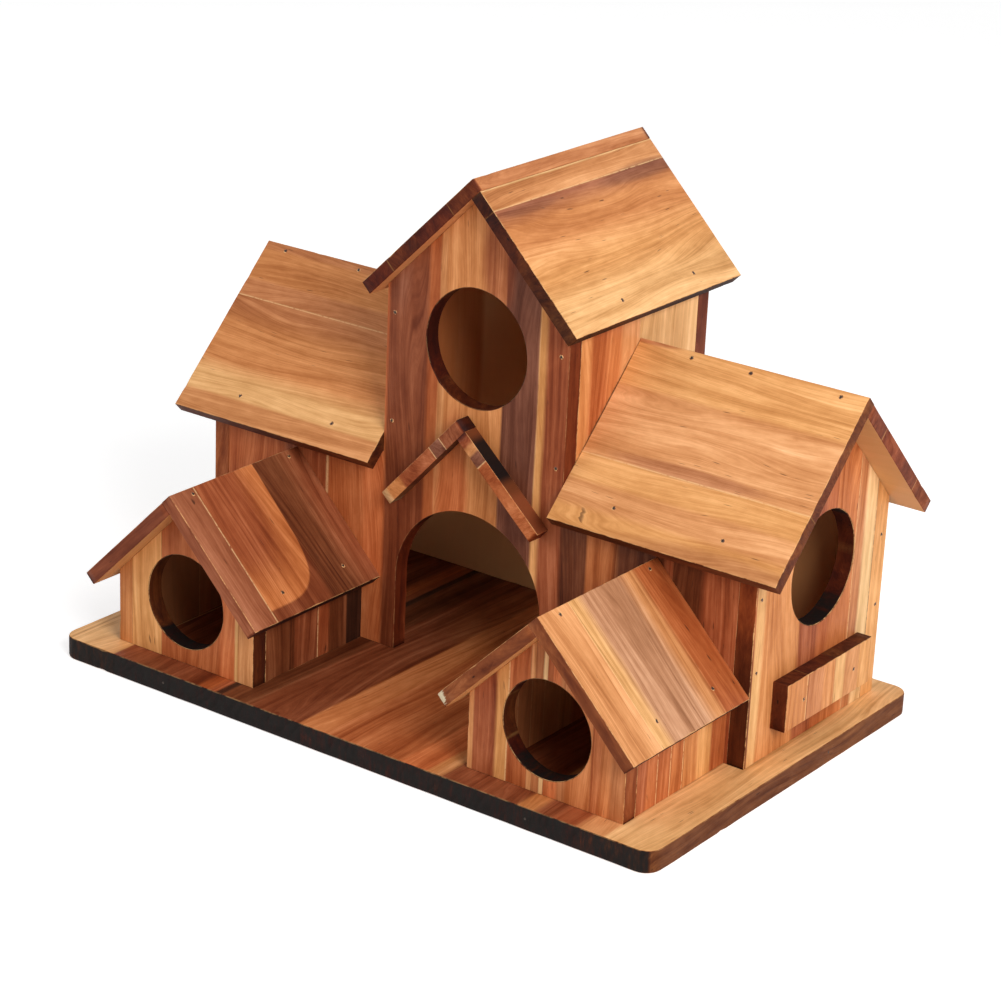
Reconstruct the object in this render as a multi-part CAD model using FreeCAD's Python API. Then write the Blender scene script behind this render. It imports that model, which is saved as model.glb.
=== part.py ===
import FreeCAD, Part
import math
import os

# Driving dimensions, in millimetres and degrees
base_width = 380.0
base_depth = 245.0
base_thickness = 12.0
base_corner_radius = 9.0
wall_thickness = 10.0
roof_thickness = 7.5
roof_pitch = 45.0
side_margin = 15.5
back_margin = 14.5
house_depth = 126.0
tower_width = 115.0
tower_eave_reach = 10.0
tower_front_overhang = 9.0
tower_back_overhang = 14.5
tower_hole_radius = 31.7
tower_hole_gap = 4.5
tower_side_gap = 10.5
arch_width = 94.0
arch_height = 101.5
wing_front_eave_reach = 13.5
wing_back_eave_reach = 12.0
wing_end_overhang = 17.5
wing_hole_radius = 30.2
wing_hole_height = 101.5
ledge_thickness = 9.0
ledge_length = 82.0
ledge_height = 25.5
ledge_foot_height = 27.2
small_front_margin = 16.0
small_house_width = 93.4
small_ridge_height = 110.0
small_eave_reach = 12.3
small_front_overhang = 12.5
small_hole_share = 0.2964
small_hole_sill = 8.9
wing_eave_clearance = 3.7
tower_eave_clearance = 13.2
canopy_depth = 9.3
canopy_apex_offset = 3.6
canopy_apex_rise = 53.3
canopy_tilt = 2.8
canopy_left_length = 69.7
canopy_right_length = 72.3
chip_length = 5.5
brad_radius = 0.7
brad_length = 17.0
brad_clearance = 0.06

# Named planes that follow from the driving dimensions
floor = base_thickness
back_y = base_depth / 2 - back_margin
front_y = back_y - house_depth
ridge_y = (front_y + back_y) / 2
gable_outer = base_width / 2 - side_margin
gable_inner = gable_outer - wall_thickness
tower_half = tower_width / 2
small_half = small_house_width / 2
small_front_y = small_front_margin - base_depth / 2
small_house_length = front_y - small_front_y
small_house_offset = (tower_half + gable_outer) / 2
pitch = math.radians(roof_pitch)
slope = math.tan(pitch)
roof_drop = roof_thickness / math.cos(pitch)
eave_drop = roof_thickness * math.cos(pitch)
tower_span = tower_half + tower_eave_reach
wing_front_span = house_depth / 2 + wing_front_eave_reach
wing_back_span = house_depth / 2 + wing_back_eave_reach
wing_outer = gable_outer + wing_end_overhang
small_span = small_half + small_eave_reach

# The wing's front eave clears the small house's ridge, and the tower's eave the wing's ridge
wing_ridge_height = small_ridge_height + wing_eave_clearance + slope * wing_front_span + eave_drop
tower_ridge_height = wing_ridge_height + tower_eave_clearance + slope * tower_span + eave_drop
small_hole_radius = small_hole_share * (small_ridge_height - roof_drop - floor)
small_hole_height = floor + small_hole_sill + small_hole_radius
canopy_apex_height = arch_height + canopy_apex_rise
tower_hole_height = canopy_apex_height + tower_hole_gap + tower_hole_radius
tower_side_foot_height = arch_height + tower_side_gap

os.makedirs("parts", exist_ok=True)


def prism_y(points, start, end):
    """Outline in x and z, pushed along y from start to end."""
    corners = [FreeCAD.Vector(x, start, z) for x, z in points]
    face = Part.Face(Part.makePolygon(corners + corners[:1]))
    return face.extrude(FreeCAD.Vector(0, end - start, 0))


def prism_x(points, start, end):
    """Outline in y and z, pushed along x from start to end."""
    corners = [FreeCAD.Vector(start, y, z) for y, z in points]
    face = Part.Face(Part.makePolygon(corners + corners[:1]))
    return face.extrude(FreeCAD.Vector(end - start, 0, 0))


def box(low, high):
    size = [b - a for a, b in zip(low, high)]
    return Part.makeBox(*size, FreeCAD.Vector(*low))


def rod(radius, start, direction, length):
    return Part.makeCylinder(radius, length, FreeCAD.Vector(*start), FreeCAD.Vector(*direction))


def underside(apex, offset):
    """Height of a roof's lower face at a distance from its ridge line."""
    return apex - roof_drop - slope * abs(offset)


def lapped_roof(apex, over_span, under_span):
    """Cross-sections of two boards that meet at a ridge over the line zero. The first, on the
    negative side, laps over the square end of the second."""
    lap = roof_drop / (2 * slope)
    run = roof_thickness * math.sin(pitch)
    rise = roof_thickness * math.cos(pitch)
    over_eave = apex - slope * over_span
    under_eave = apex - slope * under_span
    over = [(0, apex), (-over_span, over_eave), (run - over_span, over_eave - rise),
            (lap, apex - roof_drop / 2)]
    under = [(lap, apex - roof_drop / 2), (under_span, under_eave),
             (under_span - run, under_eave - rise), (0, apex - roof_drop)]
    return over, under


def shifted(points, offset, sign=1):
    return [(offset + sign * u, z) for u, z in points]


def make_base():
    board = box((-base_width / 2, -base_depth / 2, 0), (base_width / 2, base_depth / 2, floor))
    uprights = [edge for edge in board.Edges if abs(edge.tangentAt(edge.FirstParameter).z) > 0.99]
    return board.makeFillet(base_corner_radius, uprights)


def make_long_wall(start, end):
    """One board as long as both wings, with the tower's gable standing up from its middle."""
    sides = [(start, floor), (end, floor), (end, underside(wing_ridge_height, end - ridge_y)),
             (start, underside(wing_ridge_height, start - ridge_y))]
    middle = [(-tower_half, floor), (tower_half, floor),
              (tower_half, underside(tower_ridge_height, tower_half)),
              (0, underside(tower_ridge_height, 0)),
              (-tower_half, underside(tower_ridge_height, tower_half))]
    wall = prism_y(middle, start, end)
    wall = wall.fuse([prism_x(sides, -gable_inner, -tower_half), prism_x(sides, tower_half, gable_inner)])
    return wall.removeSplitter()


def make_front_wall():
    wall = make_long_wall(front_y, front_y + wall_thickness)
    arch_half = arch_width / 2
    spring = arch_height - arch_half
    cut_start = front_y - 1
    cut_end = front_y + wall_thickness + 1
    tools = [box((-arch_half, cut_start, floor - 1), (arch_half, cut_end, spring)),
             rod(arch_half, (0, cut_start, spring), (0, 1, 0), cut_end - cut_start),
             rod(tower_hole_radius, (0, cut_start, tower_hole_height), (0, 1, 0), cut_end - cut_start)]
    doorway = tools[0].fuse(tools[1]).removeSplitter()
    return wall.cut(doorway).cut(tools[2])


def make_tower_side(sign):
    inner = tower_half - wall_thickness
    outline = [(sign * inner, tower_side_foot_height), (sign * tower_half, tower_side_foot_height),
               (sign * tower_half, underside(tower_ridge_height, tower_half)),
               (sign * inner, underside(tower_ridge_height, inner))]
    return prism_y(outline, front_y + wall_thickness, back_y - wall_thickness)


def make_wing_gable(sign):
    outline = [(front_y, floor), (back_y, floor),
               (back_y, underside(wing_ridge_height, back_y - ridge_y)),
               (ridge_y, underside(wing_ridge_height, 0)),
               (front_y, underside(wing_ridge_height, front_y - ridge_y))]
    gable = prism_x(outline, sign * gable_inner, sign * gable_outer)
    hole = rod(wing_hole_radius, (sign * (gable_inner - 1), ridge_y, wing_hole_height),
               (sign, 0, 0), wall_thickness + 2)
    return gable.cut(hole)


def make_ledge(sign):
    low_y = ridge_y - ledge_length / 2
    inner = sign * gable_outer
    outer = sign * (gable_outer + ledge_thickness)
    return box((min(inner, outer), low_y, ledge_foot_height),
               (max(inner, outer), low_y + ledge_length, ledge_foot_height + ledge_height))


def make_small_gable(centre):
    outline = [(-small_half, floor), (small_half, floor),
               (small_half, underside(small_ridge_height, small_half)),
               (0, underside(small_ridge_height, 0)),
               (-small_half, underside(small_ridge_height, small_half))]
    gable = prism_y(shifted(outline, centre), small_front_y, small_front_y + wall_thickness)
    return gable.cut(rod(small_hole_radius, (centre, small_front_y - 1, small_hole_height),
                         (0, 1, 0), wall_thickness + 2))


def make_small_side(centre, sign):
    inner = small_half - wall_thickness
    outline = [(inner, floor), (small_half, floor), (small_half, underside(small_ridge_height, small_half)),
               (inner, underside(small_ridge_height, inner))]
    return prism_y(shifted(outline, centre, sign), small_front_y + wall_thickness, front_y)


def chipped(board, centre):
    """Takes the splintered corner off the low front end of the left roof board."""
    eave_x = centre - small_span
    eave_z = small_ridge_height - slope * small_span
    start = small_front_y - small_front_overhang
    depth = chip_length / 2
    corner = [FreeCAD.Vector(eave_x - 1, start - 1, eave_z + 1),
              FreeCAD.Vector(eave_x + chip_length, start - 1, eave_z + slope * chip_length + 1),
              FreeCAD.Vector(eave_x - 1, start + depth, eave_z + 1)]
    wedge = Part.Face(Part.makePolygon(corner + corner[:1]))
    fall = FreeCAD.Vector(math.sin(pitch), 0, -math.cos(pitch)) * (roof_thickness + 3)
    return board.cut(wedge.extrude(fall))


def canopy_boards():
    """Two short boards at a right angle, the whole turned by the tilt about their peak."""
    turn = math.radians(canopy_tilt)
    left = (-math.cos(pitch + turn), -math.sin(pitch + turn))
    right = (math.cos(pitch - turn), -math.sin(pitch - turn))
    left_in = (math.sin(pitch + turn), -math.cos(pitch + turn))
    right_in = (-math.sin(pitch - turn), -math.cos(pitch - turn))
    apex = (-canopy_apex_offset, canopy_apex_height)
    half_angle = (math.pi - 2 * pitch) / 2
    lap = roof_thickness / math.sin(2 * half_angle)
    inner = roof_thickness / math.tan(half_angle)

    def at(along, length, inward, depth):
        return (apex[0] + along[0] * length + inward[0] * depth,
                apex[1] + along[1] * length + inward[1] * depth)

    over = [at(left, 0, left_in, 0), at(left, canopy_left_length, left_in, 0),
            at(left, canopy_left_length, left_in, roof_thickness), at(right, lap, right_in, 0)]
    under = [at(right, lap, right_in, 0), at(right, canopy_right_length, right_in, 0),
             at(right, canopy_right_length, right_in, roof_thickness),
             at(right, inner, right_in, roof_thickness)]
    return (prism_y(over, front_y - canopy_depth, front_y),
            prism_y(under, front_y - canopy_depth, front_y))


def roof_brad(origin, along, across, reach, distance):
    """A brad driven square into a roof board: origin is on the ridge line, along runs on the
    ridge, across points level from the ridge to the eave."""
    start = [o + reach * a + distance * math.cos(pitch) * c
             for o, a, c in zip(origin, along, across)]
    start[2] -= distance * math.sin(pitch)
    inward = (-math.sin(pitch) * across[0], -math.sin(pitch) * across[1], -math.cos(pitch))
    return tuple(start), inward


def list_brads():
    """Brads at the shares of each board's length where the nail heads show."""
    ridge_distance = roof_thickness / 2
    seat = (roof_thickness * math.sin(pitch) - wall_thickness / 4) / math.cos(pitch)
    wing_eave = house_depth / 2 / math.cos(pitch) + seat
    small_eave = small_half / math.cos(pitch) + seat
    tower_eave = tower_half / math.cos(pitch) + seat
    wing_run = wing_outer - tower_half
    small_run = small_house_length + small_front_overhang
    tower_run = tower_front_overhang + house_depth + tower_back_overhang
    side_top = underside(tower_ridge_height, tower_half)
    side_rise = side_top - tower_side_foot_height
    corner_rise = underside(wing_ridge_height, house_depth / 2) - floor
    brads = []
    for sign in (-1, 1):
        wing = (sign * tower_half, ridge_y, wing_ridge_height)
        for share in (0.245, 0.506, 0.892):
            brads.append(roof_brad(wing, (sign, 0, 0), (0, -1, 0), share * wing_run, ridge_distance))
        for share in (0.245, 0.721):
            for across in (-1, 1):
                brads.append(roof_brad(wing, (sign, 0, 0), (0, across, 0), share * wing_run, wing_eave))
        small = (sign * small_house_offset, front_y, small_ridge_height)
        for share in (-0.85, -0.1):
            brads.append(roof_brad(small, (0, 1, 0), (1, 0, 0), share * small_run, ridge_distance))
        for share in (-0.683, -0.198):
            for across in (-1, 1):
                brads.append(roof_brad(small, (0, 1, 0), (across, 0, 0), share * small_run, small_eave))
        tower = (0.0, front_y, tower_ridge_height)
        for share in (0.317, 0.833):
            brads.append(roof_brad(tower, (0, 1, 0), (sign, 0, 0), share * house_depth, tower_eave))
        for share in (0.276, 0.858):
            stud = sign * (tower_half - wall_thickness / 2)
            height = tower_side_foot_height + share * side_rise
            brads.append(((stud, front_y, height), (0, 1, 0)))
            brads.append(((stud, back_y, height), (0, -1, 0)))
        for share in (0.464, 0.819):
            for edge in (front_y + wall_thickness / 2, back_y - wall_thickness / 2):
                brads.append(((sign * gable_outer, edge, floor + share * corner_rise), (-sign, 0, 0)))
        for share in (-0.3, 0.3):
            brads.append(((sign * (gable_outer + ledge_thickness), ridge_y + share * ledge_length,
                           ledge_foot_height + ledge_height / 2), (-sign, 0, 0)))
        brads.append(((sign * 0.308 * base_width, -base_depth / 2, base_thickness / 2), (0, 1, 0)))
        brads.append(((sign * base_width / 2, 0.159 * base_depth, base_thickness / 2), (-sign, 0, 0)))
    for share in (0.134, 0.502, 0.87):
        brads.append(roof_brad((0.0, front_y - tower_front_overhang, tower_ridge_height),
                               (0, 1, 0), (-1, 0, 0), share * tower_run, ridge_distance))
    return brads


def bored(shape, bores):
    """Cuts every brad's bore that reaches the board."""
    near = [bore for bore in bores if shape.BoundBox.intersect(bore.BoundBox)]
    return shape.cut(near) if near else shape


parts = {}
parts["base_board"] = make_base()
parts["front_wall"] = make_front_wall()
parts["back_wall"] = make_long_wall(back_y - wall_thickness, back_y)

tower_over, tower_under = lapped_roof(tower_ridge_height, tower_span, tower_span)
tower_start = front_y - tower_front_overhang
tower_end = back_y + tower_back_overhang
parts["tower_roof_left"] = prism_y(tower_over, tower_start, tower_end)
parts["tower_roof_right"] = prism_y(tower_under, tower_start, tower_end)

wing_over, wing_under = lapped_roof(wing_ridge_height, wing_front_span, wing_back_span)
small_over, small_under = lapped_roof(small_ridge_height, small_span, small_span)
small_start = small_front_y - small_front_overhang
for side, sign in (("left", -1), ("right", 1)):
    parts["tower_side_" + side] = make_tower_side(sign)
    parts[side + "_wing_gable"] = make_wing_gable(sign)
    parts[side + "_wing_roof_front"] = prism_x(shifted(wing_over, ridge_y), sign * tower_half, sign * wing_outer)
    parts[side + "_wing_roof_back"] = prism_x(shifted(wing_under, ridge_y), sign * tower_half, sign * wing_outer)
    parts[side + "_wing_ledge"] = make_ledge(sign)
    centre = sign * small_house_offset
    house = side + "_small_house_"
    parts[house + "gable"] = make_small_gable(centre)
    parts[house + "side_left"] = make_small_side(centre, -1)
    parts[house + "side_right"] = make_small_side(centre, 1)
    parts[house + "roof_right"] = prism_y(shifted(small_over, centre, -1), small_start, front_y)
    parts[house + "roof_left"] = prism_y(shifted(small_under, centre, -1), small_start, front_y)

chipped_name = "right_small_house_roof_left"
parts[chipped_name] = chipped(parts[chipped_name], small_house_offset)
parts["canopy_left"], parts["canopy_right"] = canopy_boards()

brad_places = list_brads()
brad_bores = [rod(brad_radius + brad_clearance, start, direction, brad_length)
              for start, direction in brad_places]
for name in parts:
    parts[name] = bored(parts[name], brad_bores)
parts["brads"] = Part.makeCompound([rod(brad_radius, start, direction, brad_length)
                                    for start, direction in brad_places])

for name, shape in parts.items():
    shape.exportStep("parts/" + name + ".step")
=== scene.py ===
import bmesh
import bpy
import math
import numpy as np
from mathutils import Matrix, Vector
from mathutils.geometry import delaunay_2d_cdt


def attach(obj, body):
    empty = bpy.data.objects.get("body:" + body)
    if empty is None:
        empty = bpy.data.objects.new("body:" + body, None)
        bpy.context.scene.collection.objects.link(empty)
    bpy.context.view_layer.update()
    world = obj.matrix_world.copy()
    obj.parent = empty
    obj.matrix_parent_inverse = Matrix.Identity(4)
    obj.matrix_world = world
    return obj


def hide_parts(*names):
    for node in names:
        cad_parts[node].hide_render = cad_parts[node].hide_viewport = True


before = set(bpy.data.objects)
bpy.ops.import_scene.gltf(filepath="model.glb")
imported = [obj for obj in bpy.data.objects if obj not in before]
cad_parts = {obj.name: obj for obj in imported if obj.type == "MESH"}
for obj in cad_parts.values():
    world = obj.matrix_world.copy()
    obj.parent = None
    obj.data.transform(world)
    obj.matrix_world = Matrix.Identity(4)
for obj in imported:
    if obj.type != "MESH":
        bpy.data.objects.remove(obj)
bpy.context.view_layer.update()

# Boards and their places in millimetres, as in the CAD model
wall = 10.0
sheet = 7.5
floor_top = 12.0
base_half_depth = 122.45
base_half_length = 189.95
base_middle = 190.0
base_corner = 9.0
wall_front = -18.0
wall_back = 108.0
ridge_line = 45.0
house_half = 63.0
tower_half = 57.5
tower_ridge = 281.5
tower_foot = 112.0
tower_overhang = 10.0
tower_ends = (-27.0, 122.5)
wing_ridge = 195.5
wing_outer = 192.0
wing_front_reach = 76.5
wing_back_reach = 75.0
gable_face = 174.5
ledge_thick = 9.0
ledge_low = 27.2
ledge_high = 52.7
ledge_length = 82.0
small_offset = 116.0
small_half = 46.7
small_ridge = 110.0
small_front = -106.5
small_overhang = 12.3
roof_front = -119.0
doorway_half = 47.0
doorway_spring = 54.5
base_nails = ((117.04, -122.4), (189.9, 38.96))
canopy_top = (-3.6, 154.8)
canopy_front = -27.3
canopy_tilt = math.radians(2.8)

# Middle height and radius of each round entrance
tower_entrance = (191.0, 31.7)
wing_entrance = (101.5, 30.2)
small_entrance = (46.8, 25.9)

# What follows from those sizes
diagonal = math.sqrt(0.5)
roof_drop = sheet / diagonal
tower_eave = tower_ridge - roof_drop - tower_half
wing_shoulder = wing_ridge - roof_drop - house_half
small_shoulder = small_ridge - roof_drop - small_half
wall_depth = wall_back - wall_front
wing_run = wing_outer - tower_half
small_run = wall_front - roof_front

east = (1.0, 0.0, 0.0)
north = (0.0, 1.0, 0.0)
upright = (0.0, 0.0, 1.0)

# The photograph's view: turn, tip and roll in radians, place in metres and lens in millimetres
view_angles = [math.radians(angle) for angle in (35.67, 21.09, 2.56)]
view_place = (0.8566, -1.1845, 0.668)
view_lens = 108.4

# Tones of flame-browned wood: red, green and blue out of 255
tones = {
    "cream": (240, 194, 138),
    "straw": (230, 174, 114),
    "honey": (222, 157, 95),
    "sand": (210, 143, 90),
    "amber": (204, 132, 77),
    "tan": (188, 118, 72),
    "apricot": (196, 116, 65),
    "orange": (176, 95, 51),
    "rust": (154, 80, 46),
    "clay": (160, 95, 64),
    "chestnut": (128, 65, 37),
    "plum": (120, 70, 50),
    "fawn": (196, 142, 105),
    "umber": (104, 53, 28),
    "russet": (198, 108, 60),
    "soot": (54, 28, 17),
    "coal": (26, 17, 15),
}

# Light values of charred wood and of a fresh break
charred = (0.006, 0.004, 0.003, 1.0)
splintered = (0.80, 0.66, 0.44, 1.0)

# How strongly each sort of joint between strips shows, and its tone
joint_looks = {"glue": (0.8, "cream"), "gap": (0.85, "soot"), "tight": (0.3, "umber")}


def add_object(name, data):
    """New object in the scene."""
    thing = bpy.data.objects.new(name, data)
    bpy.context.scene.collection.objects.link(thing)
    return thing


def linear(tone):
    """Light value of a tone: each channel's screen curve undone, red, green, blue and a full alpha."""
    share = np.array(tones[tone]) / 255
    return (*np.where(share > 0.04, ((share + 0.055) / 1.055) ** 2.4, share / 12.92), 1.0)


class Paint:
    """Adds shader nodes to one tree and joins them."""

    def __init__(self, tree):
        self.tree = tree

    def put(self, kind, settings=None, **inputs):
        """New node. An input is named after its socket, or with i and the socket's number."""
        node = self.tree.nodes.new("ShaderNode" + kind)
        for name, value in (settings or {}).items():
            setattr(node, name, value)
        for name, value in inputs.items():
            socket = int(name[1:]) if name[1:].isdigit() else name.replace("_", " ")
            self.feed(node.inputs[socket], value)
        return node

    def feed(self, socket, value):
        """Joins a socket to another one, or sets its value."""
        if isinstance(value, bpy.types.NodeSocket):
            self.tree.links.new(value, socket)
        else:
            socket.default_value = value

    def work(self, operation, *values, clamp=False):
        """Number that the named operation makes of others."""
        node = self.put("Math", {"operation": operation, "use_clamp": clamp})
        for socket, value in zip(node.inputs, values):
            self.feed(socket, value)
        return node.outputs[0]

    def times(self, first, second, clamp=False):
        return self.work("MULTIPLY", first, second, clamp=clamp)

    def times_plus(self, first, second, third):
        return self.work("MULTIPLY_ADD", first, second, third)

    def opposite(self, value):
        """One less the value."""
        return self.work("SUBTRACT", 1.0, value)

    def vector(self, operation, *values):
        """Vector, or for a dot product the number, that the named operation makes of vectors."""
        node = self.put("VectorMath", {"operation": operation})
        for socket, value in zip(node.inputs, values):
            self.feed(socket, value)
        return node.outputs["Value" if operation == "DOT_PRODUCT" else "Vector"]

    def split(self, place):
        return self.put("SeparateXYZ", Vector=place).outputs

    def rise(self, value, low, high):
        """Goes smoothly from 0 at low to 1 at high."""
        smooth = {"interpolation_type": "SMOOTHSTEP"}
        return self.put("MapRange", smooth, Value=value, From_Min=low, From_Max=high).outputs["Result"]

    def noise(self, place, sizes, detail=2.0, rough=0.5):
        """Noise with features of the given sizes along the grain, across it and through the board."""
        scaled = self.vector("MULTIPLY", place, tuple(1 / size for size in sizes))
        return self.put("TexNoise", Vector=scaled, Scale=1.0, Detail=detail, Roughness=rough).outputs["Fac"]

    def swing(self, *figure):
        """The same noise, moved to lie about zero."""
        return self.work("SUBTRACT", self.noise(*figure), 0.5)

    def blend(self, share, first, second):
        """Colour between two others."""
        return self.put("Mix", {"data_type": "RGBA"}, i0=share, i6=first, i7=second).outputs[2]

    def dim(self, colour, curve, kept):
        """Colour with a steeper curve, for warmth, and then only the kept share of its light."""
        curved = self.put("Gamma", Color=colour, Gamma=curve).outputs["Color"]
        return self.put("VectorMath", {"operation": "SCALE"}, Vector=curved, Scale=kept).outputs["Vector"]

    def ramp(self, share, stops, kind="LINEAR"):
        """Colour ramp. One too long for a single node goes on in another past its last stop."""
        most = 32
        first, rest = stops[:most], stops[most - 1:]
        node = self.put("ValToRGB", Fac=share)
        node.color_ramp.interpolation = kind
        points = node.color_ramp.elements
        points[0].position, points[0].color = first[0]
        points[1].position, points[1].color = first[-1]
        for position, colour in first[1:-1]:
            points.new(position).color = colour
        if len(rest) < 2:
            return node.outputs["Color"]
        past = self.work("GREATER_THAN", share, rest[0][0])
        return self.blend(past, node.outputs["Color"], self.ramp(share, rest, kind))


def new_material(name):
    """New material, the paint for its nodes and its shader's sockets."""
    material = bpy.data.materials.new(name)
    material.use_nodes = True
    return material, Paint(material.node_tree), material.node_tree.nodes["Principled BSDF"].inputs


def bend_place(paint, place):
    """Place moved across the grain by slow and a little quick noise, for lines with a few arches."""
    parts = paint.split(place)
    slow = paint.noise(place, (190, 34, 34), 1.0)
    quick = paint.noise(place, (42, 7, 7), 2.0)
    bend = paint.times_plus(slow, 40.0, paint.times(quick, 2.2))
    across = paint.work("ADD", parts["Y"], bend)
    return paint.put("CombineXYZ", X=parts["X"], Y=across, Z=parts["Z"]).outputs["Vector"]


def yearly_rings(paint, place, bent, gap):
    """Thin lines of late wood: a saw wave of the bent place, which climbs softly and drops at once. The
    lines fade out in patches."""
    parts = paint.split(bent)
    saw = paint.work("FRACT", paint.work("DIVIDE", paint.times_plus(parts["Z"], 0.6, parts["Y"]), gap))
    late = paint.times(paint.rise(saw, 0.2, 0.9), paint.opposite(paint.rise(saw, 0.95, 1.0)))
    return paint.times(late, paint.rise(paint.noise(place, (90, 9, 9), 1.0), 0.4, 0.65))


def short_dashes(paint, bent, amount):
    """Short dark dashes: the middles of a few cells that are long along the grain, more of them in rows."""
    scaled = paint.vector("MULTIPLY", bent, (1 / 9, 1 / 0.8, 1 / 2))
    cells = paint.put("TexVoronoi", Vector=scaled, Scale=1.0).outputs
    chance = paint.put("SeparateColor", Color=cells["Color"]).outputs["Red"]
    row = paint.rise(paint.noise(bent, (55, 2.4, 6), 1.0), 0.55, 0.72)
    chosen = paint.work("GREATER_THAN", chance, paint.times_plus(row, -0.22, 0.998))
    middle = paint.opposite(paint.rise(cells["Distance"], 0.12, 0.36))
    return paint.times(paint.times(middle, chosen), amount, clamp=True)


def make_grain_group():
    """Grain of softwood, shared by all boards: bands and patches, coarse and fine streaks, mottling, rings
    and dashes, summed to one darkness, and the height and gloss that go with them."""
    group = bpy.data.node_groups.new("grain", "ShaderNodeTree")
    group.interface.new_socket("Place", in_out="INPUT", socket_type="NodeSocketVector")
    for name in ("Gap", "Rings", "Bands", "Fibres", "Flecks"):
        group.interface.new_socket(name, in_out="INPUT", socket_type="NodeSocketFloat")
    for name in ("Dark", "Height", "Fleck", "Gloss"):
        group.interface.new_socket(name, in_out="OUTPUT", socket_type="NodeSocketFloat")
    paint = Paint(group)
    given = group.nodes.new("NodeGroupInput").outputs
    place = given["Place"]
    bent = bend_place(paint, place)
    ring = yearly_rings(paint, place, bent, given["Gap"])
    fleck = short_dashes(paint, bent, given["Flecks"])
    band = paint.swing(bent, (300, 11, 11), 2.0)
    patch = paint.swing(place, (70, 20, 20), 2.0)
    coarse = paint.swing(bent, (110, 1.9, 6), 3.0, 0.6)
    fine = paint.swing(bent, (30, 0.5, 2), 3.0, 0.65)
    mottle = paint.swing(place, (11, 4, 4), 3.0, 0.6)
    fibre = paint.times_plus(fine, 0.9, paint.times(coarse, 1.1))
    fibre = paint.times_plus(mottle, 0.6, fibre)
    broad = paint.times_plus(patch, 0.9, paint.times(band, 1.5))
    dark = paint.times(ring, given["Rings"])
    dark = paint.times_plus(broad, given["Bands"], dark)
    dark = paint.times_plus(fibre, given["Fibres"], dark)
    height = paint.times_plus(fine, 1.1, paint.times(ring, 0.35))
    height = paint.times_plus(fleck, -0.8, height)
    gloss = paint.times_plus(mottle, 0.22, paint.times(ring, 0.08))
    out = group.nodes.new("NodeGroupOutput").inputs
    for name, value in (("Dark", dark), ("Height", height), ("Fleck", fleck), ("Gloss", gloss)):
        group.links.new(value, out[name])
    return group


grain_group = make_grain_group()


def strip_stops(strips):
    """Ramp stops of the tones and of each sort of joint, and where the strips with a grain of their own
    start. A strip is where it ends, its tone, and how it meets the next one: tight if nothing is said, by
    glue, by a gap, or in the same wood, with the width over which the tone changes, as in "9 straw 3"."""
    strips = [strip.split() for strip in strips.split(",")]
    width = float(strips[-1][0])
    sharp = 0.25
    none, full = (0, 0, 0, 1), (1, 1, 1, 1)
    tone_stops = [(0.0, linear(strips[0][1]))]
    lines = {meeting: [(0.0, none)] for meeting in joint_looks}
    starts = [0.0]
    for (end, tone, *join), (_, following, *_) in zip(strips[:-1], strips[1:]):
        end = float(end)
        meeting = join[0] if join else "tight"
        soft = sharp if meeting in joint_looks else float(meeting) / 2
        tone_stops += [((end - soft) / width, linear(tone)), ((end + soft) / width, linear(following))]
        if meeting in joint_looks:
            for step, level in ((-0.38, none), (-0.12, full), (0.12, full), (0.38, none)):
                lines[meeting].append(((end + step) / width, level))
            starts.append(end / width)
    tone_stops.append((1.0, linear(strips[-1][1])))
    for stops in lines.values():
        stops.append((1.0, none))
    return width, tone_stops, lines, starts


def board_place(paint, source, axes):
    """Place on a board in millimetres, x along the grain, y across it from the board's edge and z through
    it, and how far the surface faces each way."""
    origin, grain, across = (Vector(axis) for axis in axes)
    ways = (grain, across, grain.cross(across))
    turn = Matrix(ways)
    place = paint.put("Mapping", Vector=source["Object"], Location=-(turn @ origin),
                      Rotation=turn.to_euler(), Scale=(1000, 1000, 1000)).outputs["Vector"]
    return place, [paint.vector("DOT_PRODUCT", source["Normal"], tuple(way)) for way in ways]


def flame_share(paint, along_face, edge_face, burn):
    """How strongly the flame has burnt the surface: holes' walls evenly, and the first and last end and the
    first and last edge by the four amounts."""
    cut = paint.put("Attribute", {"attribute_name": "cut"}).outputs["Fac"]
    hole_burn = 0.8
    share = paint.times(paint.rise(cut, 0.0, 0.25), hole_burn)
    for face, sign, amount in zip((along_face,) * 2 + (edge_face,) * 2, (-1.0, 1.0) * 2, burn):
        end = paint.rise(paint.times(face, sign), 0.35, 0.8)
        share = paint.work("MAXIMUM", share, paint.times(end, amount))
    return share


def between(paint, place, low, high):
    """One between two places across the board, falling softly to zero past them."""
    half = 3.5
    beside = paint.split(place)["Y"]
    past = paint.rise(beside, high - half, high + half)
    return paint.times(paint.rise(beside, low - half, low + half), paint.opposite(past))


def tone_sides(paint, colour, place, broad_face, sides):
    """Colour with flat tones over broad sides: the sign of the way a side faces, its tone, its share and,
    for a part of it, where that starts and ends across the board."""
    for sign, tone, share, *reach in sides:
        amount = paint.times(paint.rise(paint.times(broad_face, float(sign)), 0.9, 0.99), share)
        if reach:
            amount = paint.times(amount, between(paint, place, *reach))
        colour = paint.blend(amount, colour, linear(tone))
    return colour


def scorched(paint, colour, amount):
    """Colour browned by the flame: warmer and darker with the amount, and charred where it is nearly one."""
    curve = paint.times_plus(amount, 0.8, 1.0)
    kept = paint.times_plus(amount, -0.93, 1.0)
    return paint.blend(paint.rise(amount, 0.86, 1.0), paint.dim(colour, curve, kept), charred)


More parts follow.
